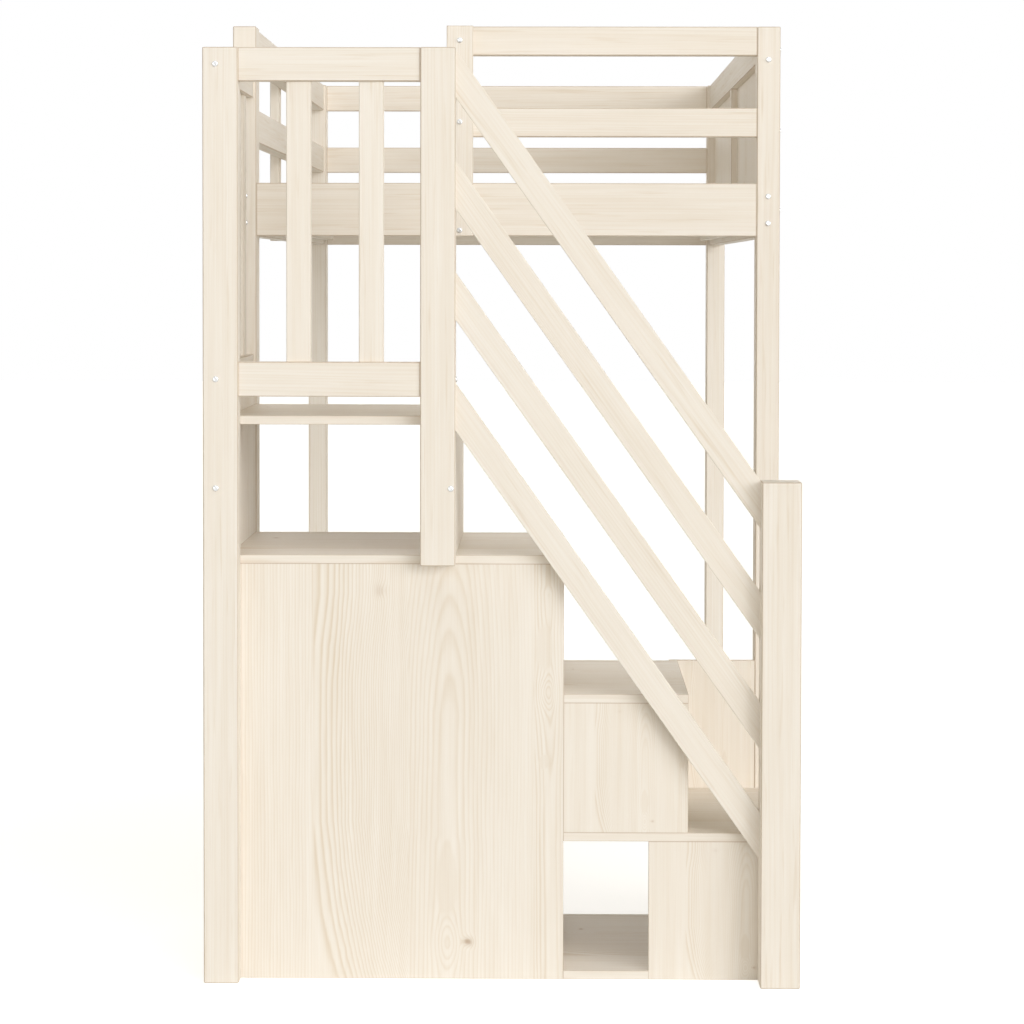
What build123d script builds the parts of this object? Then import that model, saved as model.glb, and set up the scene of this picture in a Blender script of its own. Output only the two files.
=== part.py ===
# Loft bed with a stair block at its foot end, sizes in millimetres.
# X runs across the bed, Y from the stairs towards the far end, Z up.
# The origin is on the floor, in the middle of the whole footprint.
import math
import os

from build123d import *

os.makedirs("parts", exist_ok=True)

# Overall sizes
bed_width = 1086.0
bed_length = 2000.0
bed_height = 1786.0
stair_depth = 504.0

# Corner posts of the bed
post_thin = 46.0
post_deep = 68.0

# Rails of the bed
rail_thick = 33.0
rail_inset = 7.0
end_recess = 1.5
guard_rise = 310.0
deck_rail_tall = 105.0
side_rail_tall = 65.0
end_rail_tall = 57.0
middle_rail_drop = 161.0

# Flat uprights that tie the rails together
upright_wide = 52.0
upright_thick = 21.0
entry_width = 379.0

# Closed guard on the bed's open long side
guard_panel_thick = 12.0
guard_panel_inset = 14.0

# Mattress support
ledger_thick = 25.0
ledger_tall = 30.0
ledger_lift = 12.0
slat_count = 13
slat_wide = 70.0
slat_thick = 14.0
slat_gap = 3.0
slat_end_clearance = 0.5

# Stair block of flat boards, its steps one even rise apart up to the landing
board = 16.0
landing_drop = 440.0
platform_step = 3
landing_step = 4
side_board_inset = 28.0
platform_right = 656.8
landing_right = 458.8
step_two_right = 885.5
cubby_right = 813.4

# Posts and guard round the landing at the top of the stairs
guard_post_wide = 64.0
guard_post_deep = 45.0
guard_drop = 80.5
guard_top_rail_tall = 61.0
guard_low_rail_tall = 63.0
guard_low_rail_lift = 36.5
baluster_wide = 45.0
baluster_thick = 18.0
front_baluster_count = 2
front_baluster_start = 87.0
front_baluster_pitch = 131.8
side_baluster_count = 4

# Newel and the sloping boards of the handrail
newel_side = 72.0
newel_height = 920.5
handrail_count = 4
handrail_wide = 50.0
handrail_thick = 22.0
handrail_pitch = 201.4
handrail_drop_at_post = 47.5
handrail_drop_at_newel = 43.5
handrail_bolt_clearance = 1.5

# Round heads of the bolts, proud of the wood
head_radius = 5.5
head_tall = 3.0
head_taper = 15.0
deck_bolt_spread = 53.0
upright_bolt_edge = 11.0
end_bolt_drop = 15.5
panel_bolt_lift = 125.0

# Eased edges
post_ease = 3.0
rail_ease = 1.5
board_ease = 0.6
end_chamfer = 1.5

# Lines that several pieces share
reach_front = newel_side
reach_back = stair_depth + bed_length + head_tall
reach_left = upright_thick - rail_inset + head_tall
reach_right = bed_width + head_tall
x_left = (reach_left - reach_right) / 2
x_right = x_left + bed_width
y_stair = (reach_front - reach_back) / 2
y_near = y_stair + stair_depth
y_far = y_near + bed_length
y_near_inner = y_near + post_deep
y_far_inner = y_far - post_deep
y_middle = (y_near + y_far) / 2
x_post_left = x_left + post_thin
x_post_right = x_right - post_thin
deck_top = bed_height - guard_rise
deck_bottom = deck_top - deck_rail_tall
middle_rail_top = bed_height - middle_rail_drop
side_rail_bottom = bed_height - side_rail_tall
x_side_board = x_left + side_board_inset
x_tread_start = x_side_board + board
x_landing = x_left + landing_right
x_platform = x_left + platform_right
x_step_two = x_left + step_two_right
x_newel = x_right - newel_side
x_mid_post = x_landing - guard_post_wide
x_entry = x_post_left + entry_width
landing_top = deck_top - landing_drop
step_rise = (landing_top - board) / landing_step
platform_top = board + platform_step * step_rise
guard_height = bed_height - guard_drop
guard_low_rail_bottom = landing_top + guard_low_rail_lift
panel_bolt_height = platform_top + panel_bolt_lift
handrail_run = x_newel - x_landing
handrail_fall = guard_height - handrail_drop_at_post - newel_height + handrail_drop_at_newel
handrail_slope = math.atan2(handrail_fall, handrail_run)
handrail_half_tall = handrail_wide / math.cos(handrail_slope) / 2


def step_top(count):
    """Height of the top face of a step, where step 0 is the bottom board."""
    return board + count * step_rise


def end_rail_span(side):
    """Near and far face of a rail between the posts of one end of the bed."""
    if side == "near":
        return y_near + end_recess, y_near + end_recess + rail_thick
    return y_far - end_recess - rail_thick, y_far - end_recess


def side_rail_span(side):
    """Left and right face of a long rail on one side of the bed."""
    if side == "left":
        return x_left + rail_inset, x_left + rail_inset + rail_thick
    return x_right - rail_inset - rail_thick, x_right - rail_inset


def handrail_line(count):
    """Height of a sloping board's middle at the stair post, then at the newel."""
    z_post = guard_height - handrail_drop_at_post - count * handrail_pitch
    return z_post, z_post - handrail_fall


def middle(pair):
    """Mid value of a pair of faces."""
    return (pair[0] + pair[1]) / 2


def section_plane(low, high, axis):
    """Plane of a piece's section, at its low end and square to its length."""
    x_mid, y_mid, z_mid = [(a + b) / 2 for a, b in zip(low, high)]
    if axis == "X":
        return Plane(origin=(low[0], y_mid, z_mid), x_dir=(0, 1, 0), z_dir=(1, 0, 0))
    if axis == "Y":
        return Plane(origin=(x_mid, low[1], z_mid), x_dir=(1, 0, 0), z_dir=(0, 1, 0))
    return Plane(origin=(x_mid, y_mid, low[2]), x_dir=(1, 0, 0), z_dir=(0, 0, 1))


def section_sizes(low, high, axis):
    """Width and depth of the section, then the length along the axis."""
    x_size, y_size, z_size = [b - a for a, b in zip(low, high)]
    if axis == "X":
        return y_size, z_size, x_size
    if axis == "Y":
        return x_size, z_size, y_size
    return x_size, y_size, z_size


def head_places():
    """The seat of every bolt head on the wood, and the way in which it stands out."""
    x_rails = [middle(side_rail_span(side)) for side in ("left", "right")]
    y_ends = [middle(end_rail_span(end)) for end in ("near", "far")]
    deck_middle = middle((deck_bottom, deck_top))
    deck_pair = [deck_middle - deck_bolt_spread / 2, deck_middle + deck_bolt_spread / 2]
    end_top = bed_height - end_rail_tall / 2
    end_middle = middle_rail_top - end_rail_tall / 2
    places = []
    for x in x_rails:
        for z in deck_pair + [side_rail_bottom]:
            places.append(((x, y_near, z), (0, -1, 0)))
            places.append(((x, y_far, z), (0, 1, 0)))
    for y in y_ends:
        for z in (deck_middle, end_middle - end_bolt_drop, end_top - end_bolt_drop):
            places.append(((x_right, y, z), (1, 0, 0)))
    upright_face = y_near + end_recess - upright_thick
    for z in (deck_bottom + upright_bolt_edge, deck_top - upright_bolt_edge, end_middle, end_top):
        places.append(((x_entry + upright_wide / 2, upright_face, z), (0, -1, 0)))
    upright_face = x_left + rail_inset - upright_thick
    side_middle = middle_rail_top - side_rail_tall / 2
    side_top = bed_height - side_rail_tall / 2
    for z in (deck_bottom + upright_bolt_edge, deck_top - upright_bolt_edge, side_middle, side_top):
        places.append(((upright_face, y_middle, z), (-1, 0, 0)))
    guard_face = y_stair - guard_post_deep
    guard_low = guard_low_rail_bottom + guard_low_rail_tall / 2
    guard_top = guard_height - guard_top_rail_tall / 2
    for z in (guard_low, guard_top, panel_bolt_height):
        places.append(((x_rails[0], guard_face, z), (0, -1, 0)))
    places.append(((x_landing - board / 2, guard_face, panel_bolt_height), (0, -1, 0)))
    last_top = handrail_line(handrail_count - 1)[0] + handrail_half_tall
    z_head = last_top + handrail_bolt_clearance + head_radius
    places.append(((x_landing, y_stair - guard_post_deep / 2, z_head), (1, 0, 0)))
    return places


def save(piece, name):
    """Label a finished piece and write its file."""
    piece.part.label = name
    export_step(piece.part, f"parts/{name}.step")


def stick(name, low, high, axis, ease):
    """A straight piece of timber with its four long edges chamfered."""
    width, depth, length = section_sizes(low, high, axis)
    with BuildPart() as piece:
        with BuildSketch(section_plane(low, high, axis)) as section:
            Rectangle(width, depth)
            chamfer(section.vertices(), length=ease)
        extrude(amount=length)
    save(piece, name)


def post(name, low, high):
    """An upright post with eased edges and a chamfered head and foot."""
    width, depth, length = section_sizes(low, high, "Z")
    with BuildPart() as piece:
        with BuildSketch(section_plane(low, high, "Z")):
            RectangleRounded(width, depth, post_ease)
        extrude(amount=length)
        ends = piece.faces().sort_by(Axis.Z)
        chamfer(ends[0].edges() + ends[-1].edges(), length=end_chamfer)
    save(piece, name)


def panel(name, low, high, axis):
    """A flat board, its long edges barely broken."""
    stick(name, low, high, axis, board_ease)


def corner_posts():
    """The four posts of the bed, from the floor to the top of its rails."""
    for end, y in (("near", y_near), ("far", y_far_inner)):
        for side, x in (("left", x_left), ("right", x_post_right)):
            post(f"post_{end}_{side}", (x, y, 0), (x + post_thin, y + post_deep, bed_height))


def deck_rails():
    """Deep rails round the mattress: two long ones and two ends."""
    for side in ("left", "right"):
        x_low, x_high = side_rail_span(side)
        low = (x_low, y_near_inner, deck_bottom)
        stick(f"deck_rail_{side}", low, (x_high, y_far_inner, deck_top), "Y", rail_ease)
    for end in ("near", "far"):
        y_low, y_high = end_rail_span(end)
        low = (x_post_left, y_low, deck_bottom)
        stick(f"deck_rail_{end}", low, (x_post_right, y_high, deck_top), "X", rail_ease)


def side_guard_rails():
    """Long guard rails: top and middle on the left, top alone on the right."""
    rails = (("left", "top"), ("left", "middle"), ("right", "top"))
    for side, level in rails:
        x_low, x_high = side_rail_span(side)
        top = bed_height if level == "top" else middle_rail_top
        low = (x_low, y_near_inner, top - side_rail_tall)
        stick(f"{level}_rail_{side}", low, (x_high, y_far_inner, top), "Y", rail_ease)


def end_guard_rails():
    """Guard rails across the far end, and across the near end past the way in."""
    for end, x_start, tall in (("near", x_entry, end_rail_tall), ("far", x_post_left, side_rail_tall)):
        y_low, y_high = end_rail_span(end)
        for level, top in (("top", bed_height), ("middle", middle_rail_top)):
            low = (x_start, y_low, top - tall)
            stick(f"{level}_rail_{end}", low, (x_post_right, y_high, top), "X", rail_ease)


def uprights():
    """Flat uprights beside the way in, half way along the left and in the right guard."""
    y_front = y_near + end_recess - upright_thick
    low = (x_entry, y_front, deck_bottom)
    high = (x_entry + upright_wide, y_front + upright_thick, bed_height)
    stick("upright_near", low, high, "Z", rail_ease)
    y_low = y_middle - upright_wide / 2
    x_outer = x_left + rail_inset - upright_thick
    low = (x_outer, y_low, deck_bottom)
    stick("upright_left", low, (x_outer + upright_thick, y_low + upright_wide, bed_height), "Z", rail_ease)
    x_low, x_high = side_rail_span("right")
    low = (x_low, y_low, deck_top)
    stick("upright_right", low, (x_high, y_low + upright_wide, side_rail_bottom), "Z", rail_ease)


def guard_panels():
    """Thin closed panels of the right guard, between the rails and the uprights."""
    x_low = x_right - rail_inset - rail_thick + guard_panel_inset
    half = upright_wide / 2
    spans = (("near", y_near_inner, y_middle - half), ("far", y_middle + half, y_far_inner))
    for end, y_low, y_high in spans:
        low = (x_low, y_low, deck_top)
        panel(f"guard_panel_{end}", low, (x_low + guard_panel_thick, y_high, side_rail_bottom), "Y")


def mattress_support():
    """Ledgers along the long rails, and loose slats that lie across them."""
    z_low = deck_bottom + ledger_lift
    z_top = z_low + ledger_tall
    inner_left = side_rail_span("left")[1]
    inner_right = side_rail_span("right")[0]
    for side, x_low in (("left", inner_left), ("right", inner_right - ledger_thick)):
        low = (x_low, y_near_inner, z_low)
        stick(f"ledger_{side}", low, (x_low + ledger_thick, y_far_inner, z_top), "Y", rail_ease)
    first = y_near_inner + slat_gap + slat_wide / 2
    last = y_far_inner - slat_gap - slat_wide / 2
    pitch = (last - first) / (slat_count - 1)
    x_low = inner_left + slat_end_clearance
    x_high = inner_right - slat_end_clearance
    with BuildPart() as slats:
        for count in range(slat_count):
            y_low = first + count * pitch - slat_wide / 2
            low = (x_low, y_low, z_top)
            high = (x_high, y_low + slat_wide, z_top + slat_thick)
            with BuildSketch(section_plane(low, high, "X")) as section:
                Rectangle(slat_wide, slat_thick)
                chamfer(section.vertices(), length=rail_ease)
            extrude(amount=x_high - x_low)
    save(slats, "mattress_slats")


def landing_guard():
    """Posts, rails and balusters that close the landing on its outer two sides."""
    y_low = y_stair - guard_post_deep
    post("guard_post_corner", (x_left, y_low, 0), (x_left + guard_post_wide, y_stair, guard_height))
    post("guard_post_stair", (x_mid_post, y_low, platform_top - board), (x_landing, y_stair, guard_height))
    y_rail = y_stair - guard_post_deep / 2 - rail_thick / 2
    x_start = x_left + guard_post_wide
    x_side_low, x_side_high = side_rail_span("left")
    low_top = guard_low_rail_bottom + guard_low_rail_tall
    top_bottom = guard_height - guard_top_rail_tall
    heights = (("low", guard_low_rail_bottom, low_top), ("top", top_bottom, guard_height))
    for level, z_low, z_high in heights:
        low = (x_start, y_rail, z_low)
        stick(f"landing_{level}_rail_front", low, (x_mid_post, y_rail + rail_thick, z_high), "X", rail_ease)
        low = (x_side_low, y_stair, z_low)
        stick(f"landing_{level}_rail_side", low, (x_side_high, y_near, z_high), "Y", rail_ease)
    y_thin = y_stair - guard_post_deep / 2 - baluster_thick / 2
    for count in range(front_baluster_count):
        x_low = x_start + front_baluster_start + count * front_baluster_pitch
        low = (x_low, y_thin, low_top)
        high = (x_low + baluster_wide, y_thin + baluster_thick, top_bottom)
        stick(f"baluster_front_{count + 1}", low, high, "Z", rail_ease)
    x_thin = middle((x_side_low, x_side_high)) - baluster_thick / 2
    gap = (stair_depth - side_baluster_count * baluster_wide) / (side_baluster_count + 1)
    for count in range(side_baluster_count):
        y_start = y_stair + gap + count * (gap + baluster_wide)
        low = (x_thin, y_start, low_top)
        high = (x_thin + baluster_thick, y_start + baluster_wide, top_bottom)
        stick(f"baluster_side_{count + 1}", low, high, "Z", rail_ease)


def handrail():
    """Newel, and four parallel sloping boards cut plumb where they meet a post."""
    y_low = y_stair - newel_side
    post("newel", (x_newel, y_low, 0), (x_newel + newel_side, y_stair, newel_height))
    y_back = y_stair - guard_post_deep / 2 + handrail_thick / 2
    for count in range(handrail_count):
        z_post, z_newel = handrail_line(count)
        with BuildPart() as sloping_board:
            with BuildSketch(Plane(origin=(0, y_back, 0), x_dir=(1, 0, 0), z_dir=(0, -1, 0))):
                with BuildLine():
                    Polyline(
                        (x_landing, z_post - handrail_half_tall),
                        (x_newel, z_newel - handrail_half_tall),
                        (x_newel, z_newel + handrail_half_tall),
                        (x_landing, z_post + handrail_half_tall),
                        close=True,
                    )
                make_face()
            extrude(amount=handrail_thick)
            long_edges = sloping_board.edges().filter_by(lambda edge: edge.length > handrail_run)
            fillet(long_edges, radius=rail_ease)
        save(sloping_board, f"handrail_{count + 1}")


def tall_cupboard():
    """The tall block under the landing, closed to the front and open to the bed."""
    y_back = y_near
    y_inner = y_stair + board
    platform_under = platform_top - board
    x_divider = x_landing - board
    low = (x_side_board, y_stair, 0)
    panel("stair_left_panel", low, (x_tread_start, y_back, guard_low_rail_bottom), "Z")
    panel("cupboard_front_panel", (x_tread_start, y_stair, 0), (x_platform, y_inner, platform_under), "Z")
    low = (x_platform - board, y_inner, 0)
    panel("cupboard_right_panel", low, (x_platform, y_back, platform_under), "Z")
    low = (x_tread_start, y_inner, 0)
    panel("cupboard_bottom", low, (x_platform - board, y_back, board), "X")
    panel("cupboard_divider", (x_divider, y_inner, board), (x_landing, y_back, platform_under), "Z")
    for count in (1, 2):
        low = (x_tread_start, y_inner, step_top(count) - board)
        panel(f"cupboard_shelf_{count}", low, (x_divider, y_back, step_top(count)), "X")
    panel("platform_board", (x_tread_start, y_stair, platform_under), (x_platform, y_back, platform_top), "X")
    low = (x_divider, y_stair, platform_top)
    panel("landing_riser", low, (x_landing, y_back, landing_top - board), "Z")
    low = (x_tread_start, y_stair, landing_top - board)
    panel("landing_board", low, (x_landing, y_back, landing_top), "X")


def middle_step():
    """The second step: a board on a closed side and a riser board."""
    y_inner = y_stair + board
    z_low = step_top(1)
    z_under = step_top(2) - board
    panel("step_two_board", (x_platform, y_stair, z_under), (x_step_two, y_near, step_top(2)), "X")
    panel("step_two_side_panel", (x_platform, y_stair, z_low), (x_step_two, y_inner, z_under), "Z")
    panel("step_two_riser", (x_step_two - board, y_inner, z_low), (x_step_two, y_near, z_under), "Z")


def low_step():
    """The first step: a see-through cubby beside a closed side panel."""
    y_inner = y_stair + board
    x_cubby = x_left + cubby_right
    z_under = step_top(1) - board
    panel("step_one_board", (x_platform, y_stair, z_under), (x_right, y_near, step_top(1)), "X")
    panel("step_one_side_panel", (x_cubby, y_stair, 0), (x_right, y_inner, z_under), "Z")
    panel("step_one_end_panel", (x_right - board, y_inner, 0), (x_right, y_near, z_under), "Z")
    x_inner = x_right - board
    with BuildPart() as bottom:
        with BuildSketch(Plane.XY):
            with BuildLine():
                Polyline(
                    (x_platform, y_stair),
                    (x_cubby, y_stair),
                    (x_cubby, y_inner),
                    (x_inner, y_inner),
                    (x_inner, y_near),
                    (x_platform, y_near),
                    close=True,
                )
            make_face()
        extrude(amount=board)
        chamfer(bottom.faces().sort_by(Axis.Z)[-1].edges(), length=board_ease)
    save(bottom, "step_one_bottom")
    low = (x_step_two - board, y_near, z_under)
    panel("step_one_back_panel", low, (x_post_right, y_near + board, step_top(2)), "X")


def bolt_heads():
    """The low tapered head of every bolt, seated on the wood."""
    with BuildPart() as heads:
        for place, outward in head_places():
            with BuildSketch(Plane(origin=place, z_dir=outward)):
                Circle(head_radius)
            extrude(amount=head_tall, taper=head_taper)
    save(heads, "bolt_heads")


corner_posts()
deck_rails()
side_guard_rails()
end_guard_rails()
uprights()
guard_panels()
mattress_support()
landing_guard()
handrail()
tall_cupboard()
middle_step()
low_step()
bolt_heads()
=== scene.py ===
"""Looks of a whitewashed pine loft bed with storage stairs.

Laid out as an add-on and run as a script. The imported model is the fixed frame: every board keeps its
place and size, and gets its own cut of pine. The bolt heads are new pieces, and so is the stage.
X runs across the bed, Y from the stairs to the far end, Z up, in metres.
"""
import math
import zlib

import bpy
import numpy as np
from mathutils import Euler, Matrix, Vector


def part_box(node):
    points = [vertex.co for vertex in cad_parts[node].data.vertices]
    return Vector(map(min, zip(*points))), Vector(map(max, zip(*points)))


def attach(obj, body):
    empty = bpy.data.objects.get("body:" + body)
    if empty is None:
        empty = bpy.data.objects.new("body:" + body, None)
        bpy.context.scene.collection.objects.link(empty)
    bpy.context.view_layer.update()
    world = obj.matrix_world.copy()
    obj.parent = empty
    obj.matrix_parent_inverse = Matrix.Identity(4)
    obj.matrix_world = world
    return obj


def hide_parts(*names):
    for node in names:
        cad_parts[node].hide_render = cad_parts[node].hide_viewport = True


bl_info = {
    "name": "Loft bed looks",
    "version": (1, 0, 0),
    "blender": (4, 5, 0),
    "location": "View3D > Sidebar > Loft bed",
    "description": "Whitewashed pine, plated bolt heads and a pale stage for a loft bed with stairs",
    "category": "Object",
}

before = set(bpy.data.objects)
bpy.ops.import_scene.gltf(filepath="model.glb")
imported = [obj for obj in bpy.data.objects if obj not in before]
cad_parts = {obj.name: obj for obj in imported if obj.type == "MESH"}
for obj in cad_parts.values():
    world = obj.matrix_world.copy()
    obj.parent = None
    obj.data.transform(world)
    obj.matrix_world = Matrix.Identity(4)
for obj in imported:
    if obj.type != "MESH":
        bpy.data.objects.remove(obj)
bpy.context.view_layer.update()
BODY = "root"

# Rows of a turn: the directions across, through and along a board's grain
TURNS = {
    "upright": ((1, 0, 0), (0, 1, 0), (0, 0, 1)),
    "upright_turned": ((0, 1, 0), (-1, 0, 0), (0, 0, 1)),
    "across": ((0, 0, 1), (0, 1, 0), (-1, 0, 0)),
    "lengthwise": ((0, 0, 1), (1, 0, 0), (0, 1, 0)),
    "flat_across": ((0, 1, 0), (0, 0, 1), (1, 0, 0)),
}


def nodes_named(prefixes):
    """The frame's nodes whose names start with one of the prefixes, in order."""
    return sorted(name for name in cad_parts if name.startswith(prefixes))


def mesh_points(item):
    """Vertices of an object's mesh as rows."""
    points = np.empty(len(item.data.vertices) * 3)
    item.data.vertices.foreach_get("co", points)
    return points.reshape(-1, 3)


def rgba(colour):
    """A colour with full alpha."""
    return (*colour, 1.0)


class Graph:
    """The nodes of one material or world. Most calls add a node and give back its output."""

    def __init__(self, owner):
        self.owner = owner
        self.owner.use_nodes = True
        self.tree = self.owner.node_tree
        self.tree.nodes.clear()

    def put(self, kind, sockets, output=0, **settings):
        """A node with its settings, and its sockets linked or set."""
        made = self.tree.nodes.new(kind)
        for key, value in settings.items():
            setattr(made, key, value)
        for key, value in sockets.items():
            if isinstance(value, bpy.types.NodeSocket):
                self.tree.links.new(value, made.inputs[key])
            else:
                made.inputs[key].default_value = value
        return made.outputs[output]

    def calc(self, operation, *values):
        """One arithmetic step."""
        return self.put("ShaderNodeMath", dict(enumerate(values)), operation=operation)

    def vector(self, operation, *values, output=0):
        """One step on vectors."""
        return self.put("ShaderNodeVectorMath", dict(enumerate(values)), output, operation=operation)

    def split(self, value):
        """The three parts of a vector."""
        return tuple(self.put("ShaderNodeSeparateXYZ", {0: value}).node.outputs)

    def noise(self, where, scale, detail=2.0, output=0):
        """Smooth noise from 0 to 1, at a scale in cells per metre."""
        return self.put("ShaderNodeTexNoise", {"Vector": where, "Scale": scale, "Detail": detail}, output)

    def grained(self, where, scale, detail, stretch):
        """Noise drawn out along the grain, where its scale is multiplied by the stretch."""
        return self.noise(self.vector("MULTIPLY", where, (1.0, 1.0, stretch)), scale, detail)

    def ramp(self, value, stops):
        """A curve through (place, height) stops, flat past its ends."""
        made = self.put("ShaderNodeValToRGB", {0: value}).node
        elements = made.color_ramp.elements
        while len(elements) < len(stops):
            elements.new(1.0)
        for element, (place, height) in zip(elements, stops):
            element.position = place
            element.color = rgba((height, height, height))
        return made.outputs[0]

    def mix(self, factor, first, second):
        """Colour from first to second as the factor goes from 0 to 1."""
        return self.put("ShaderNodeMix", {0: factor, 6: first, 7: second}, 2, data_type="RGBA")

    def blend(self, factor, first, second):
        """Number from first to second as the factor goes from 0 to 1."""
        return self.put("ShaderNodeMix", {0: factor, 2: first, 3: second}, data_type="FLOAT")

    def finish(self, surface, kind="ShaderNodeOutputMaterial"):
        """Wire the shader to the output node, and give back the material or world."""
        made = self.tree.nodes.new(kind)
        self.tree.links.new(surface, made.inputs["Surface"])
        return self.owner


# Where a board's own stretch of noise may lie, in metres from the board's middle
NOISE_PLACES = (5.0, 50.0)


class Board:
    """A node's box seen along its grain, with random numbers of its own."""

    def __init__(self, name, turn):
        low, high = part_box(name)
        self.name = name
        self.rows = Matrix(turn)
        self.centre = (low + high) / 2
        self.size = Vector([abs(part) for part in self.rows @ (high - low)])
        self.straight = all(abs(part) in (0.0, 1.0) for row in self.rows for part in row)
        self.random = np.random.default_rng(zlib.crc32(name.encode()))

    def place(self, graph):
        """Across, through and along the board from its centre, in metres."""
        where = graph.put("ShaderNodeTexCoord", {}, "Object")
        turned = self.rows.to_euler("XYZ")
        shift = -(self.rows @ self.centre)
        return graph.put("ShaderNodeMapping", {"Vector": where, "Location": shift, "Rotation": turned})

    def seeded(self, graph, place):
        """The board's place moved to a stretch of noise that no other board has."""
        return graph.vector("ADD", place, tuple(self.random.uniform(*NOISE_PLACES, 3)))


# Darkness along one growth ring, from its inner to its outer edge
RING_PROFILE = ((0.0, 0.45), (0.08, 0.1), (0.3, 0.0), (0.55, 0.2), (0.75, 0.75), (0.88, 1.0), (1.0, 0.45))


def ring_line(graph, count):
    """Darkness at a ring count: slowly up through the late wood, then quickly down at the outer edge."""
    return graph.ramp(graph.calc("FRACT", count), RING_PROFILE)


# Largest share of a board's thickness that the painted shade of one eased edge takes
EDGE_SHARE = 0.05
# Between one and two: a point is in an edge where at least two of the three faces are near
EDGE_COUNT = 1.5


def painted_edge_shade(graph, board, place, look):
    """Mask of painted shade: 1 in the eased edges of a board, where two of its three half sizes are nearly
    reached at once.
    """
    nearness = []
    width = min(look.edge_width, EDGE_SHARE * min(board.size))
    for part, size in zip(graph.split(place), board.size):
        gap = graph.calc("SUBTRACT", size / 2, graph.calc("ABSOLUTE", part))
        nearness.append(graph.calc("LESS_THAN", gap, width))
    total = graph.calc("ADD", graph.calc("ADD", nearness[0], nearness[1]), nearness[2])
    return graph.calc("GREATER_THAN", total, EDGE_COUNT)


# Noise drawn out along the grain: cells per metre across it, detail and stretch
FIBRES = (420.0, 3.0, 0.02)
STREAKS = (95.0, 4.0, 0.03)
CLOUDS = (7.0, 2.0, 0.3)
DASHES = (150.0, 2.0, 0.045)
# Noise at which a dash starts to show, and at which it is full
DASH_RAMP = ((0.6, 0.0), (0.75, 1.0))
# Middle value of every noise
MIDDLE = 0.5
# Height of the fibres and of the grain lines as shares of the relief, and the relief's depth in metres
FIBRE_HEIGHT = 0.6
LINE_HEIGHT = -0.8
RELIEF_DEPTH = 0.0004
# Roughness that a grain line adds
LINE_ROUGHNESS = 0.12


def pine_surface(graph, look, board, place, seeded, line, dashed=1.0, dark=None):
    """Wood from a ring line between 0 and 1: streaks, clouds, fibres and dashes along the grain, an even
    base tone, painted shade in the eased edges and a soft sheen."""
    fibres = graph.grained(seeded, *FIBRES)
    streaks = graph.grained(seeded, *STREAKS)
    clouds = graph.grained(seeded, *CLOUDS)
    dashes = graph.ramp(graph.grained(seeded, *DASHES), DASH_RAMP)
    tone = graph.calc("MULTIPLY", line, look.ring_contrast)
    contrasts = (look.streak_contrast, look.fibre_contrast, look.cloud_contrast)
    for noise, contrast in zip((streaks, fibres, clouds), contrasts):
        tone = graph.calc("MULTIPLY_ADD", graph.calc("SUBTRACT", noise, MIDDLE), contrast, tone)
    tone = graph.calc("MULTIPLY_ADD", dashes, look.dash_contrast * dashed, tone)
    tone = graph.calc("ADD", tone, look.base_tone)
    colour = graph.mix(tone, rgba(look.pale), rgba(look.deep))
    # Painted shade: the eased edges of straight boards are darkened towards the knot colour, in place of the
    # shade that falls in chamfers and seams
    if board.straight:
        painted_shade = graph.calc("MULTIPLY", painted_edge_shade(graph, board, place, look), look.painted_edge_shade_contrast)
        colour = graph.mix(painted_shade, colour, rgba(look.knot_and_edge_shade))
    if dark is not None:
        colour = graph.mix(dark, colour, rgba(look.knot_and_edge_shade))
    height = graph.calc("MULTIPLY_ADD", fibres, FIBRE_HEIGHT, graph.calc("MULTIPLY", tone, LINE_HEIGHT))
    relief = {"Height": height, "Strength": look.relief, "Distance": RELIEF_DEPTH}
    bump = graph.put("ShaderNodeBump", relief)
    rough = graph.calc("MULTIPLY_ADD", tone, LINE_ROUGHNESS, look.roughness)
    sockets = {"Base Color": colour, "Roughness": rough, "Normal": bump, "Specular IOR Level": look.sheen}
    return graph.finish(graph.put("ShaderNodeBsdfPrincipled", sockets))


# Stretch of the slow noises in timber, and the cells per metre and detail of its sway
TIMBER_STRETCH = 0.1
SWAY_NOISE = (11.0, 2.0)
# Distance of the pith line from a board's middle in board widths, and its lean in metres to the metre
PITH_REACH = (0.5, 1.3)
PITH_LEAN = 0.012
# Uneven ring widths: cells per metre of radius, detail, rings added, and what sets one board's row apart
UNEVEN_NOISE = (70.0, 1.0)
UNEVEN_RINGS = 3.0
UNEVEN_ROWS = 90.0
# Where the grain lines of timber are clear: cells per metre, detail, and clearness at a low and a high noise
CLEAR_NOISE = (28.0, 2.0)
CLEAR_RAMP = ((0.3, 0.15), (0.7, 1.0))


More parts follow.
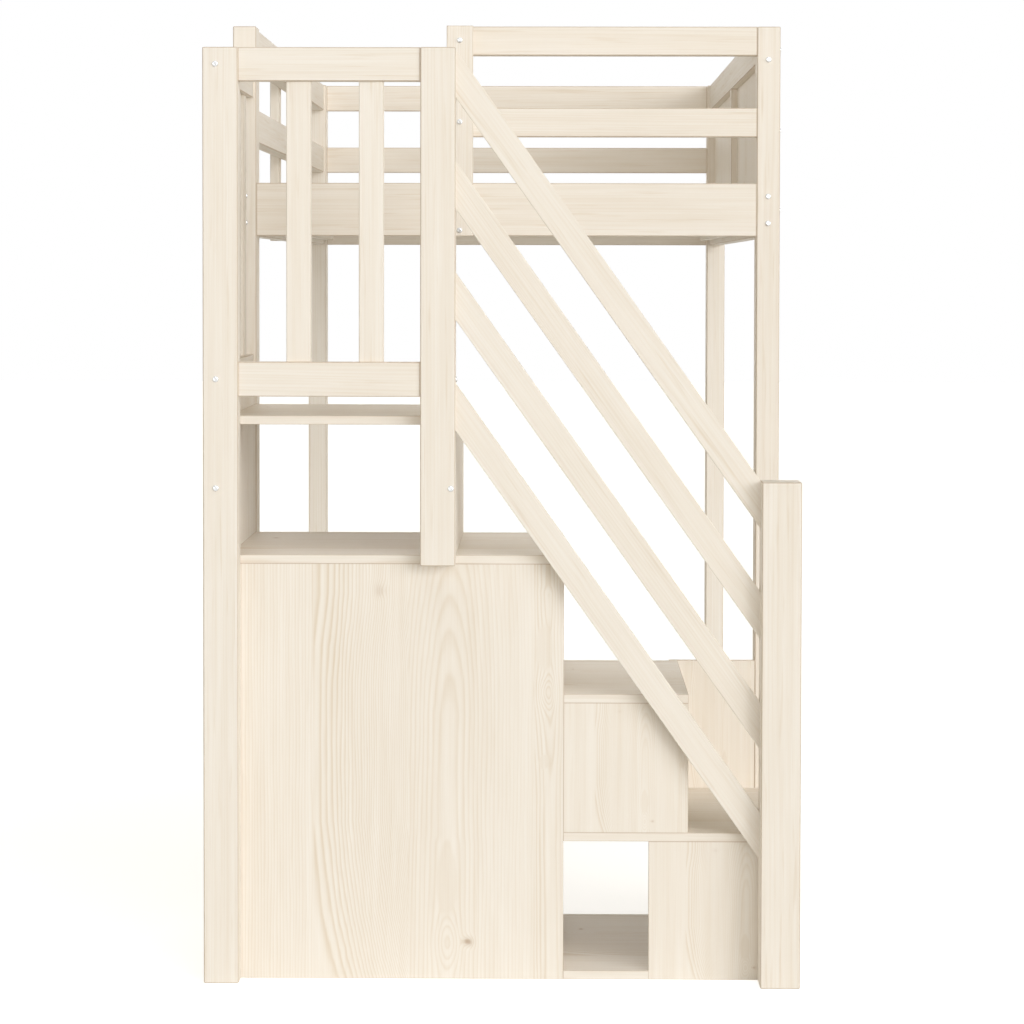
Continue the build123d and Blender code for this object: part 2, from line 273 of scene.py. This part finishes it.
def timber(board, look):
    """Solid timber: rings round a pith line near the board, seen on every face as the saw would show them."""
    graph = Graph(bpy.data.materials.new(f"pine_{board.name}"))
    place = board.place(graph)
    seeded = board.seeded(graph, place)
    soft = graph.vector("MULTIPLY", seeded, (1.0, 1.0, TIMBER_STRETCH))
    sway = graph.vector("SUBTRACT", graph.noise(soft, *SWAY_NOISE, output="Color"), (MIDDLE, MIDDLE, MIDDLE))
    swayed = graph.vector("MULTIPLY_ADD", sway, (look.sway, look.sway, 0.0), place)
    angle = board.random.uniform(0.0, 2.0 * math.pi)
    reach = board.random.uniform(*PITH_REACH) * max(board.size.x, board.size.y)
    pith = (reach * math.cos(angle), reach * math.sin(angle), 0.0)
    across, through, along = graph.split(graph.vector("SUBTRACT", swayed, pith))
    leans = board.random.uniform(-PITH_LEAN, PITH_LEAN, 2)
    across = graph.calc("MULTIPLY_ADD", along, leans[0], across)
    through = graph.calc("MULTIPLY_ADD", along, leans[1], through)
    ring_plane = graph.put("ShaderNodeCombineXYZ", {0: across, 1: through})
    radius = graph.vector("LENGTH", ring_plane, output="Value")
    row = graph.put("ShaderNodeCombineXYZ", {0: radius, 1: pith[0] * UNEVEN_ROWS})
    uneven = graph.noise(row, *UNEVEN_NOISE)
    count = graph.calc("MULTIPLY_ADD", uneven, UNEVEN_RINGS, graph.calc("DIVIDE", radius, look.ring_spacing))
    clear = graph.ramp(graph.noise(soft, *CLEAR_NOISE), CLEAR_RAMP)
    strength = graph.calc("MULTIPLY", clear, look.timber_rings)
    line = graph.calc("MULTIPLY", ring_line(graph, count), strength)
    return pine_surface(graph, look, board, place, seeded, line)


# The edge-glued panel is measured in shares of its width and height from its lower left corner.
# Where each stave but the last ends
STAVE_ENDS = (0.25, 0.535, 0.913)
# First stave: straight fine rings this far apart
FINE_SPACING = 0.0095
# Second stave: how far its rings move to the right with height, and how its count grows and crowds
# to the right
SHIFT = ((0.0, 0.075), (0.05, 0.058), (0.16, 0.031), (0.28, 0.012), (0.38, 0.0), (0.72, 0.0),
         (0.8, 0.004), (0.87, 0.014), (0.93, 0.021), (1.0, 0.022))
RING_CROWDING = (32.0, 300.0)
# Third stave: the pith line's place and lean, the ring spacing, and a tenth of the ring count on that
# line at each height
ARCH_PITH = (0.648, 0.014)
ARCH_SPACING = 0.0108
ARCH_RINGS = ((0.0, 0.45), (0.16, 0.462), (0.325, 0.492), (0.345, 0.512), (0.637, 0.54), (0.724, 0.588),
              (0.834, 0.688), (0.918, 0.788), (1.0, 0.9))
# Fourth stave: the same
EDGE_PITH = (0.966, -0.014)
EDGE_SPACING = 0.0085
EDGE_RINGS = ((0.0, 0.315), (0.44, 0.318), (0.48, 0.305), (0.516, 0.288), (0.57, 0.24), (0.62, 0.19),
              (0.66, 0.15), (0.72, 0.14), (0.76, 0.165), (0.84, 0.175), (0.88, 0.12), (0.93, 0.1),
              (0.95, 0.17), (1.0, 0.18))
# Rings to one whole of such a tenth
TENTHS = 10.0
# Rings passed for every metre into the panel from its face
RINGS_INWARD = 40.0
# Share of the timber's dashes that a panel has
PANEL_DASHES = 0.3
# Brown patches of late wood: place across and up, half width, half height; then their ring line's value
PATCHES = ((0.650, 0.235, 0.031, 0.085), (0.942, 0.80, 0.024, 0.055), (0.940, 0.525, 0.015, 0.02))
PATCH_TONE = 0.5
# Share of a patch or a knot's heart at each height of its bell
PATCH_RAMP = ((0.25, 0.0), (0.45, 1.0))
HEART_RAMP = ((0.1, 0.0), (0.6, 0.3), (0.95, 1.0))
# How clear the grain lines are across the panel
STRENGTHS = ((0.0, 0.8), (0.245, 0.65), (0.255, 1.8), (0.33, 1.65), (0.38, 1.2), (0.53, 1.05), (0.54, 0.85),
             (0.73, 0.9), (0.78, 0.6), (0.905, 0.35), (0.915, 1.5), (0.98, 1.05), (1.0, 0.5))
# Knots: place across and up, half width, half height, rings added, darkness of the heart
KNOTS = (
    (0.449, 0.937, 0.024, 0.020, 1.6, 0.2),
    (0.655, 0.087, 0.034, 0.052, -2.9, 0.0),
    (0.7146, 0.0897, 0.017, 0.013, -2.5, 0.75),
    (0.950, 0.692, 0.025, 0.036, -3.2, 0.0),
)
# Width and height of a panel from which its grain is fully dark, in metres
FULL_SIZE = 0.55
# Strength of the grain lines in the smallest panels
LEAST_GRAIN = 0.5
# Stretch of the slow noises in panels, and the cells per metre and detail of each
PANEL_STRETCH = 0.12
WOBBLE_ACROSS = (40.0, 3.0)
WOBBLE_UP = (30.0, 2.0)
VIVID_NOISE = (22.0, 2.0)
# Strength of the grain lines at the lowest and the highest noise
VIVID_RANGE = (0.6, 1.2)


def bell(graph, across, up, knot_across, knot_up, half_wide, half_tall):
    """A hump over the panel: the exponential of minus the squared distance from the knot, in half sizes."""
    x = graph.calc("MULTIPLY_ADD", across, 1.0 / half_wide, -knot_across / half_wide)
    y = graph.calc("MULTIPLY_ADD", up, 1.0 / half_tall, -knot_up / half_tall)
    squared = graph.calc("MULTIPLY_ADD", x, x, graph.calc("MULTIPLY", y, y))
    return graph.calc("EXPONENT", graph.calc("MULTIPLY", squared, -1.0))


def arched_rings(graph, across, up, pith, spacing, rings):
    """Ring count of a stave cut near its pith: the root of the squared count to the side of the pith line
    plus the squared count from the face down to it."""
    offset = graph.calc("SUBTRACT", across, graph.calc("MULTIPLY_ADD", up, pith[1], pith[0]))
    aside = graph.calc("DIVIDE", offset, spacing)
    deep = graph.calc("MULTIPLY", graph.ramp(up, rings), TENTHS)
    return graph.vector("LENGTH", graph.put("ShaderNodeCombineXYZ", {0: aside, 1: deep}), output="Value")


def panel(board, look):
    """Edge-glued panel of four staves, each with a ring count of its own, which every knot raises or
    lowers by a bell-shaped hump. The grain lines are where the count nears whole numbers."""
    graph = Graph(bpy.data.materials.new(f"pine_{board.name}"))
    place = board.place(graph)
    seeded = board.seeded(graph, place)
    wide, thick, tall = board.size
    fade = min(1.0, wide / FULL_SIZE, tall / FULL_SIZE)
    soft = graph.vector("MULTIPLY", seeded, (1.0, 1.0, PANEL_STRETCH))
    across, through, along = graph.split(place)
    across = graph.calc("MULTIPLY_ADD", across, 1.0 / wide, 0.5)
    up = graph.calc("MULTIPLY_ADD", along, 1.0 / tall, 0.5)
    wobble = graph.calc("SUBTRACT", graph.noise(soft, *WOBBLE_ACROSS), MIDDLE)
    waved = graph.calc("MULTIPLY_ADD", wobble, look.wobble, across)
    wobble = graph.calc("SUBTRACT", graph.noise(seeded, *WOBBLE_UP), MIDDLE)
    up = graph.calc("MULTIPLY_ADD", wobble, look.wobble, up)
    fine = graph.calc("DIVIDE", waved, FINE_SPACING)
    from_edge = graph.calc("SUBTRACT", graph.calc("SUBTRACT", waved, STAVE_ENDS[0]), graph.ramp(up, SHIFT))
    crowd = graph.calc("MULTIPLY_ADD", from_edge, RING_CROWDING[1], RING_CROWDING[0])
    bold = graph.calc("MULTIPLY", crowd, from_edge)
    arch = arched_rings(graph, waved, up, ARCH_PITH, ARCH_SPACING, ARCH_RINGS)
    edge = arched_rings(graph, waved, up, EDGE_PITH, EDGE_SPACING, EDGE_RINGS)
    field = fine
    for end, count in zip(STAVE_ENDS, (bold, arch, edge)):
        field = graph.blend(graph.calc("GREATER_THAN", across, end), field, count)
    dark = 0.0
    for *ellipse, rings, darkness in KNOTS:
        hump = bell(graph, waved, up, *ellipse)
        field = graph.calc("MULTIPLY_ADD", hump, rings, field)
        heart = graph.ramp(hump, [(level, share * darkness * fade) for level, share in HEART_RAMP])
        dark = graph.calc("MAXIMUM", dark, heart)
    field = graph.calc("MULTIPLY_ADD", graph.calc("ADD", through, thick / 2), RINGS_INWARD, field)
    line = ring_line(graph, field)
    strength = graph.ramp(across, STRENGTHS)
    grain = LEAST_GRAIN + (1.0 - LEAST_GRAIN) * fade
    vivid = graph.blend(graph.noise(soft, *VIVID_NOISE), *(grain * end for end in VIVID_RANGE))
    line = graph.calc("MULTIPLY", line, graph.calc("MULTIPLY", strength, vivid))
    for patch in PATCHES:
        within = graph.ramp(bell(graph, waved, up, *patch), PATCH_RAMP)
        line = graph.blend(within, line, PATCH_TONE)
    return pine_surface(graph, look, board, place, seeded, line, PANEL_DASHES, dark)


def dress(names, turn, maker, look):
    """Give each node a material cut for it alone."""
    for name in names:
        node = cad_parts[name]
        node.data.materials.clear()
        node.data.materials.append(maker(Board(name, turn), look))


class PineLook(bpy.types.PropertyGroup):
    """Colours and grain of the whitewashed pine."""

    pale: bpy.props.FloatVectorProperty(
        name="Pale wood", description="Colour between the grain lines", subtype="COLOR",
        size=3, min=0.0, max=1.0, default=(0.94, 0.893, 0.829))
    deep: bpy.props.FloatVectorProperty(
        name="Grain line", description="Colour of the late wood in a grain line", subtype="COLOR",
        size=3, min=0.0, max=1.0, default=(0.75, 0.64, 0.5))
    # Colour at the heart of a knot, and also the colour of the painted shade in the eased edges
    knot_and_edge_shade: bpy.props.FloatVectorProperty(
        name="Knot", description="Colour at the heart of a knot", subtype="COLOR",
        size=3, min=0.0, max=1.0, default=(0.50, 0.36, 0.24))
    ring_spacing: bpy.props.FloatProperty(
        name="Ring spacing", description="Distance between growth rings in timber", subtype="DISTANCE",
        unit="LENGTH", min=0.001, max=0.02, default=0.0055)
    wobble: bpy.props.FloatProperty(
        name="Wobble", description="How far panel grain wanders, as a share of the panel's width",
        subtype="FACTOR", min=0.0, max=0.1, default=0.016)
    sway: bpy.props.FloatProperty(
        name="Sway", description="How far the grain wanders across a board", subtype="DISTANCE",
        unit="LENGTH", min=0.0, max=0.05, default=0.012)
    ring_contrast: bpy.props.FloatProperty(
        name="Ring contrast", description="Strength of the grain lines", subtype="FACTOR",
        min=0.0, max=1.0, default=0.38)
    streak_contrast: bpy.props.FloatProperty(
        name="Streak contrast", description="Strength of broad streaks along the grain", subtype="FACTOR",
        min=0.0, max=1.0, default=0.5)
    fibre_contrast: bpy.props.FloatProperty(
        name="Fibre contrast", description="Strength of fine fibres along the grain", subtype="FACTOR",
        min=0.0, max=1.0, default=0.3)
    cloud_contrast: bpy.props.FloatProperty(
        name="Cloud contrast", description="Strength of slow changes in tone", subtype="FACTOR",
        min=0.0, max=1.0, default=0.25)
    timber_rings: bpy.props.FloatProperty(
        name="Timber rings", description="Strength of the grain lines in timber against those in panels",
        subtype="FACTOR", min=0.0, max=1.0, default=0.55)
    dash_contrast: bpy.props.FloatProperty(
        name="Dash contrast", description="Strength of short dark dashes along the grain", subtype="FACTOR",
        min=0.0, max=1.0, default=0.3)
    # Width of the painted shade in the eased edges
    edge_width: bpy.props.FloatProperty(
        name="Edge width", description="Width of the darker eased edge", subtype="DISTANCE", unit="LENGTH",
        min=0.0, max=0.01, default=0.0017)
    # Strength of the painted shade in the eased edges
    painted_edge_shade_contrast: bpy.props.FloatProperty(
        name="Edge contrast", description="Strength of the darker eased edge", subtype="FACTOR",
        min=0.0, max=1.0, default=0.5)
    base_tone: bpy.props.FloatProperty(
        name="Base tone", description="Share of grain colour in plain wood", subtype="FACTOR",
        min=0.0, max=1.0, default=0.12)
    relief: bpy.props.FloatProperty(
        name="Relief", description="Strength of the grain's relief", subtype="FACTOR",
        min=0.0, max=1.0, default=0.25)
    roughness: bpy.props.FloatProperty(
        name="Roughness", description="Roughness of the satin finish", subtype="FACTOR",
        min=0.0, max=1.0, default=0.55)
    sheen: bpy.props.FloatProperty(
        name="Shine", description="Strength of the finish's reflection", subtype="FACTOR",
        min=0.0, max=1.0, default=0.05)


class BoltLook(bpy.types.PropertyGroup):
    """Shape and colour of the bolt heads."""

    metal: bpy.props.FloatVectorProperty(
        name="Metal", description="Colour of the plated steel", subtype="COLOR",
        size=3, min=0.0, max=1.0, default=(0.72, 0.73, 0.74))
    socket_width: bpy.props.FloatProperty(
        name="Socket width", description="Width across the flats of the hexagon socket", subtype="DISTANCE",
        unit="LENGTH", min=0.001, max=0.008, default=0.004)
    socket_depth: bpy.props.FloatProperty(
        name="Socket depth", description="Depth of the hexagon socket", subtype="DISTANCE",
        unit="LENGTH", min=0.0005, max=0.0028, default=0.0018)
    roughness: bpy.props.FloatProperty(
        name="Roughness", description="Roughness of the plating", subtype="FACTOR",
        min=0.0, max=1.0, default=0.18)


class StageLook(bpy.types.PropertyGroup):
    """Floor, light and camera."""

    floor: bpy.props.FloatVectorProperty(
        name="Floor", description="Colour of the pale floor", subtype="COLOR",
        size=3, min=0.0, max=1.0, default=(0.84, 0.84, 0.83))
    floor_lift: bpy.props.FloatProperty(
        name="Floor lift",
        description="Light that the floor adds where it is seen, so that it meets the backdrop",
        min=0.0, max=2.0, default=0.64)
    ambient_tint: bpy.props.FloatVectorProperty(
        name="Ambient tint", description="Colour of the even light from all sides", subtype="COLOR",
        size=3, min=0.0, max=1.0, default=(1.0, 0.86, 0.57))
    ambient: bpy.props.FloatProperty(
        name="Ambient", description="Strength of the even light from all sides",
        min=0.0, max=2.0, default=0.2)
    lamps: bpy.props.FloatProperty(
        name="Lamps", description="Strength of the lamps", min=0.0, max=5.0, default=1.0)
    softness: bpy.props.FloatProperty(
        name="Softness", description="Width of each lamp as seen from the bed", subtype="ANGLE",
        unit="ROTATION", min=0.0, max=math.pi, default=math.radians(40))
    lens: bpy.props.FloatProperty(
        name="Lens", description="Focal length in millimetres on a 36 mm sensor", min=20.0, max=300.0,
        default=108.985)
    camera_place: bpy.props.FloatVectorProperty(
        name="Camera place", description="Where the camera stands", subtype="TRANSLATION", unit="LENGTH",
        size=3, default=(0.09233, -6.87815, 1.29797))
    camera_yaw: bpy.props.FloatProperty(
        name="Camera yaw", description="Turn of the camera to the left", subtype="ANGLE", unit="ROTATION",
        default=math.radians(0.6815))
    camera_pitch: bpy.props.FloatProperty(
        name="Camera pitch", description="Tilt of the camera upwards", subtype="ANGLE", unit="ROTATION",
        default=math.radians(-1.9597))
    camera_roll: bpy.props.FloatProperty(
        name="Camera roll", description="Roll of the camera", subtype="ANGLE", unit="ROTATION",
        default=math.radians(0.095))
    camera_shift: bpy.props.FloatProperty(
        name="Camera shift", description="Upward shift of the lens, as a share of the frame",
        min=-0.5, max=0.5, default=-0.13)


class BED_OT_posts(bpy.types.Operator):
    """Cut the posts, uprights and balusters from pine that grows upwards"""

    bl_idname = "loft_bed.posts"
    bl_label = "Posts and balusters"

    def execute(self, context):
        names = nodes_named(("post_", "guard_post_", "newel", "upright_", "baluster_"))
        dress(names, TURNS["upright"], timber, context.scene.bed_pine)
        return {"FINISHED"}


class BED_OT_rails(bpy.types.Operator):
    """Cut the rails of the bed and of the landing guard along their length"""

    bl_idname = "loft_bed.rails"
    bl_label = "Rails"

    def execute(self, context):
        rails = [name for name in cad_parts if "_rail_" in name]
        sides = [name for name in rails if name.endswith(("_left", "_right", "_side"))]
        ends = [name for name in rails if name not in sides]
        look = context.scene.bed_pine
        dress(sorted(sides) + nodes_named(("ledger_",)), TURNS["lengthwise"], timber, look)
        dress(sorted(ends), TURNS["across"], timber, look)
        dress(["mattress_slats"], TURNS["flat_across"], timber, look)
        return {"FINISHED"}


# A handrail's points this near the stair post are its upper end, in metres
UPPER_END = 0.01


class BED_OT_handrails(bpy.types.Operator):
    """Cut the sloping boards of the handrail along their slope"""

    bl_idname = "loft_bed.handrails"
    bl_label = "Handrail"

    def execute(self, context):
        names = nodes_named(("handrail_",))
        low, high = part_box(names[0])
        points = mesh_points(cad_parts[names[0]])
        at_post = points[points[:, 0] < low.x + UPPER_END]
        tall = np.ptp(at_post[:, 2])
        slope = math.atan2(high.z - low.z - tall, high.x - low.x)
        along = (math.cos(slope), 0.0, -math.sin(slope))
        across = (-math.sin(slope), 0.0, -math.cos(slope))
        dress(names, (across, (0.0, 1.0, 0.0), along), timber, context.scene.bed_pine)
        return {"FINISHED"}


class BED_OT_panels(bpy.types.Operator):
    """Cut the upright boards of the stair block and of the closed guard from edge-glued pine"""

    bl_idname = "loft_bed.panels"
    bl_label = "Upright boards"

    def execute(self, context):
        front = ("cupboard_front_panel", "step_two_side_panel", "step_one_side_panel", "step_one_back_panel")
        turned = ("stair_left_panel", "cupboard_right_panel", "cupboard_divider", "landing_riser",
                  "step_two_riser", "step_one_end_panel", "guard_panel_")
        look = context.scene.bed_pine
        dress(nodes_named(front), TURNS["upright"], panel, look)
        dress(nodes_named(turned), TURNS["upright_turned"], panel, look)
        return {"FINISHED"}


class BED_OT_treads(bpy.types.Operator):
    """Cut the steps, shelves and bottoms from edge-glued pine that runs across the bed"""

    bl_idname = "loft_bed.treads"
    bl_label = "Steps and shelves"

    def execute(self, context):
        names = nodes_named(("platform_board", "landing_board", "step_two_board", "step_one_board",
                             "step_one_bottom", "cupboard_bottom", "cupboard_shelf_"))
        dress(names, TURNS["flat_across"], panel, context.scene.bed_pine)
        return {"FINISHED"}


# Points of one bolt head lie this near each other, and points of one end this near its level, in metres
HEAD_REACH = 0.02
LEVEL_GAP = 0.0001
# Corners round a head, and rows of the dome between its rim and the socket
HEAD_CORNERS = 36
DOME_ROWS = 5
# The straight rim as a share of the height, and the socket's mouth as a share of the hexagon's corner radius
RIM_SHARE = 0.3
MOUTH_SHARE = 1.08
# Step from the mouth down to the hexagon, in metres
MOUTH_STEP = 0.0001
# Plating: specks and cloudy tint in cells per metre, roughness of a speck, darker tint, and relief
SPECKS = (900.0, 3.0)
TINTS = 300.0
SPECK_ROUGHNESS = 0.15
DARKER_TINT = 0.93
SPECK_RELIEF = {"Strength": 0.1, "Distance": 0.0001}
# Faces of the heads that meet more sharply than this keep their edge
SHARP_ANGLE = math.radians(40)


def head_seats(points):
    """Seat, outward direction, radius and height of each head among the points of the frame's node."""
    seats = []
    while len(points):
        near = np.linalg.norm(points - points[0], axis=1) < HEAD_REACH
        head, points = points[near], points[~near]
        low, high = head.min(0), head.max(0)
        axis = int(np.argmin(high - low))
        ends = [head[np.abs(head[:, axis] - level) < LEVEL_GAP] for level in (low[axis], high[axis])]
        spread = [np.ptp(end, axis=0).max() for end in ends]
        outward = np.zeros(3)
        outward[axis] = 1.0 if spread[0] > spread[1] else -1.0
        seat = (low + high) / 2
        seat[axis] = low[axis] if outward[axis] > 0 else high[axis]
        seats.append((seat, outward, max(spread) / 2, (high - low)[axis]))
    return seats


def bolt_head(seat, outward, radius, height, look):
    """One head as a profile turned round its axis: a short straight rim, a quarter of an ellipse as the
    dome, and a hexagon socket whose radius at an angle is the half width over the cosine of the angle to
    the nearest flat."""
    corners = HEAD_CORNERS
    angle = np.arange(corners) * 2 * np.pi / corners
    flat = np.pi / 3
    hexagon = look.socket_width / 2 / np.cos((angle + flat / 2) % flat - flat / 2)
    rim = RIM_SHARE * height
    mouth = MOUTH_SHARE * hexagon.max()
    profile = [(radius, 0.0), (radius, rim)]
    for turn in np.linspace(0.0, np.pi / 2, DOME_ROWS + 2)[1:-1]:
        profile.append((mouth + (radius - mouth) * np.cos(turn), rim + (height - rim) * np.sin(turn)))
    profile.append((mouth, height))
    rings = [(np.full(corners, ring), lift) for ring, lift in profile]
    rings += [(hexagon, height - MOUTH_STEP), (hexagon, height - look.socket_depth)]
    reach = np.array([ring for ring, _ in rings])
    level = np.array([lift for _, lift in rings])
    side = np.roll(outward, 1)
    other = np.cross(outward, side)
    spokes = np.cos(angle)[:, None] * side + np.sin(angle)[:, None] * other
    grid = seat + reach[:, :, None] * spokes + level[:, None, None] * outward
    poles = np.array([seat, seat + outward * level[-1]])
    rows = len(rings)
    first = np.arange(rows - 1)[:, None] * corners + np.arange(corners)
    second = np.arange(rows - 1)[:, None] * corners + (np.arange(corners) + 1) % corners
    quads = np.stack([first, second, second + corners, first + corners], -1).reshape(-1, 4)
    ring = np.arange(corners)
    following = (ring + 1) % corners
    under = np.stack([following, ring, np.full(corners, rows * corners)], -1)
    top = (rows - 1) * corners
    over = np.stack([top + ring, top + following, np.full(corners, rows * corners + 1)], -1)
    return np.vstack([grid.reshape(-1, 3), poles]), quads.tolist() + under.tolist() + over.tolist()


def plated_steel(look):
    """Bright plating with fine specks and a slightly uneven tint."""
    graph = Graph(bpy.data.materials.new("plated_steel"))
    where = graph.put("ShaderNodeTexCoord", {}, "Object")
    specks = graph.noise(where, *SPECKS)
    rough = graph.calc("MULTIPLY_ADD", specks, SPECK_ROUGHNESS, look.roughness)
    darker = rgba([DARKER_TINT * part for part in look.metal])
    tint = graph.mix(graph.noise(where, TINTS), rgba(look.metal), darker)
    bump = graph.put("ShaderNodeBump", {"Height": specks, **SPECK_RELIEF})
    sockets = {"Base Color": tint, "Metallic": 1.0, "Roughness": rough, "Normal": bump}
    return graph.finish(graph.put("ShaderNodeBsdfPrincipled", sockets))


class BED_OT_bolts(bpy.types.Operator):
    """Put a domed head with a hexagon socket on the seat of every bolt"""

    bl_idname = "loft_bed.bolts"
    bl_label = "Bolt heads"

    def execute(self, context):
        look = context.scene.bed_bolts
        points, faces = [], []
        count = 0
        for seat in head_seats(mesh_points(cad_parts["bolt_heads"])):
            head, sides = bolt_head(*seat, look)
            points.append(head)
            faces += [[corner + count for corner in side] for side in sides]
            count += len(head)
        mesh = bpy.data.meshes.new("bolts")
        mesh.from_pydata(np.vstack(points).tolist(), [], faces)
        mesh.shade_smooth()
        mesh.set_sharp_from_angle(angle=SHARP_ANGLE)
        mesh.materials.append(plated_steel(look))
        piece = bpy.data.objects.new("bolts", mesh)
        context.scene.collection.objects.link(piece)
        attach(piece, BODY)
        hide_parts("bolt_heads")
        return {"FINISHED"}


def seen_directly(graph):
    """1 where the camera, a reflection or a see-through surface looks, 0 for the light on the object."""
    path = graph.put("ShaderNodeLightPath", {}).node
    seen = graph.calc("MAXIMUM", path.outputs["Is Camera Ray"], path.outputs["Is Glossy Ray"])
    return graph.calc("MAXIMUM", seen, path.outputs["Is Transmission Ray"])


# Lamps: degrees to the right of the front, degrees up, share of a full light
LAMPS = (("key", 45, 5, 0.51), ("fill", -45, 5, 0.2), ("front", 20, 15, 0.26), ("high", 0, 65, 0.15),
         ("back_right", 165, 12, 0.2), ("back_left", -165, 12, 0.2))
# Half the floor's width in metres
FLOOR_HALF = 30.0
# Width of the camera's sensor in millimetres, and how far it sees in metres
SENSOR_WIDTH = 36.0
SIGHT = 100.0


class BED_OT_stage(bpy.types.Operator):
    """Set up the pale floor and backdrop, the lamps and the camera"""

    bl_idname = "loft_bed.stage"
    bl_label = "Stage"

    def execute(self, context):
        look = context.scene.bed_stage
        self.floor(context, look)
        self.backdrop(context, look)
        self.lamps(context, look)
        self.camera(context, look)
        context.scene.view_settings.view_transform = "Standard"
        return {"FINISHED"}

    def floor(self, context, look):
        """A square of floor: a grid of two parameters at height zero, three points by three."""
        side = np.linspace(-FLOOR_HALF, FLOOR_HALF, 3)
        grid = np.stack([*np.meshgrid(side, side), np.zeros((3, 3))], -1).reshape(-1, 3)
        first = (np.arange(2)[:, None] * 3 + np.arange(2)).ravel()
        quads = np.stack([first, first + 1, first + 4, first + 3], -1)
        mesh = bpy.data.meshes.new("floor")
        mesh.from_pydata(grid.tolist(), [], quads.tolist())
        graph = Graph(bpy.data.materials.new("pale_floor"))
        matt = graph.put("ShaderNodeBsdfDiffuse", {"Color": rgba(look.floor)})
        lift = graph.calc("MULTIPLY", seen_directly(graph), look.floor_lift)
        glow = graph.put("ShaderNodeEmission", {"Strength": lift})
        mesh.materials.append(graph.finish(graph.put("ShaderNodeAddShader", {0: matt, 1: glow})))
        floor = bpy.data.objects.new("floor", mesh)
        context.scene.collection.objects.link(floor)

    def backdrop(self, context, look):
        """White where it is seen, and an even light on the object."""
        graph = Graph(bpy.data.worlds.new("backdrop"))
        seen = seen_directly(graph)
        strength = graph.blend(seen, look.ambient, 1.0)
        colour = graph.mix(seen, rgba(look.ambient_tint), rgba((1.0, 1.0, 1.0)))
        sky = graph.put("ShaderNodeBackground", {"Color": colour, "Strength": strength})
        context.scene.world = graph.finish(sky, "ShaderNodeOutputWorld")

    def lamps(self, context, look):
        """Broad lamps: three low ones and a high one in front, and two low ones behind."""
        for name, aside, up, share in LAMPS:
            lamp = bpy.data.lights.new(name, "SUN")
            lamp.energy = math.pi * share * look.lamps
            lamp.angle = look.softness
            item = bpy.data.objects.new(name, lamp)
            item.rotation_euler = Euler((math.pi / 2 - math.radians(up), 0.0, math.radians(aside)))
            context.scene.collection.objects.link(item)

    def camera(self, context, look):
        """The photograph's camera."""
        lens = bpy.data.cameras.new("camera")
        lens.lens = look.lens
        lens.sensor_width = SENSOR_WIDTH
        lens.shift_y = look.camera_shift
        lens.clip_end = SIGHT
        camera = bpy.data.objects.new("camera", lens)
        aim = Euler((math.pi / 2 + look.camera_pitch, 0.0, look.camera_yaw)).to_matrix()
        turned = aim @ Matrix.Rotation(look.camera_roll, 3, "Z")
        camera.matrix_world = Matrix.Translation(look.camera_place) @ turned.to_4x4()
        context.scene.collection.objects.link(camera)
        context.scene.camera = camera


class BED_PT_looks(bpy.types.Panel):
    """Colours, sizes and steps of the loft bed's looks"""

    bl_label = "Loft bed"
    bl_idname = "BED_PT_looks"
    bl_space_type = "VIEW_3D"
    bl_region_type = "UI"
    bl_category = "Loft bed"

    def draw(self, context):
        for group in (context.scene.bed_pine, context.scene.bed_bolts, context.scene.bed_stage):
            box = self.layout.box()
            for name in group.bl_rna.properties.keys():
                if name not in {"rna_type", "name"}:
                    box.prop(group, name)
        for operator in OPERATORS:
            self.layout.operator(operator.bl_idname)


OPERATORS = (BED_OT_posts, BED_OT_rails, BED_OT_handrails, BED_OT_panels, BED_OT_treads, BED_OT_bolts,
             BED_OT_stage)
CLASSES = (PineLook, BoltLook, StageLook, *OPERATORS, BED_PT_looks)


def register():
    """Register the classes and hang the settings on the scene."""
    for item in CLASSES:
        bpy.utils.register_class(item)
    bpy.types.Scene.bed_pine = bpy.props.PointerProperty(type=PineLook)
    bpy.types.Scene.bed_bolts = bpy.props.PointerProperty(type=BoltLook)
    bpy.types.Scene.bed_stage = bpy.props.PointerProperty(type=StageLook)


def unregister():
    """Take the settings and classes away again."""
    del bpy.types.Scene.bed_pine, bpy.types.Scene.bed_bolts, bpy.types.Scene.bed_stage
    for item in reversed(CLASSES):
        bpy.utils.unregister_class(item)


def main():
    """Dress the bed step by step."""
    register()
    for operator in OPERATORS:
        getattr(bpy.ops.loft_bed, operator.bl_idname.split(".")[1])()


if __name__ == "__main__":
    main()
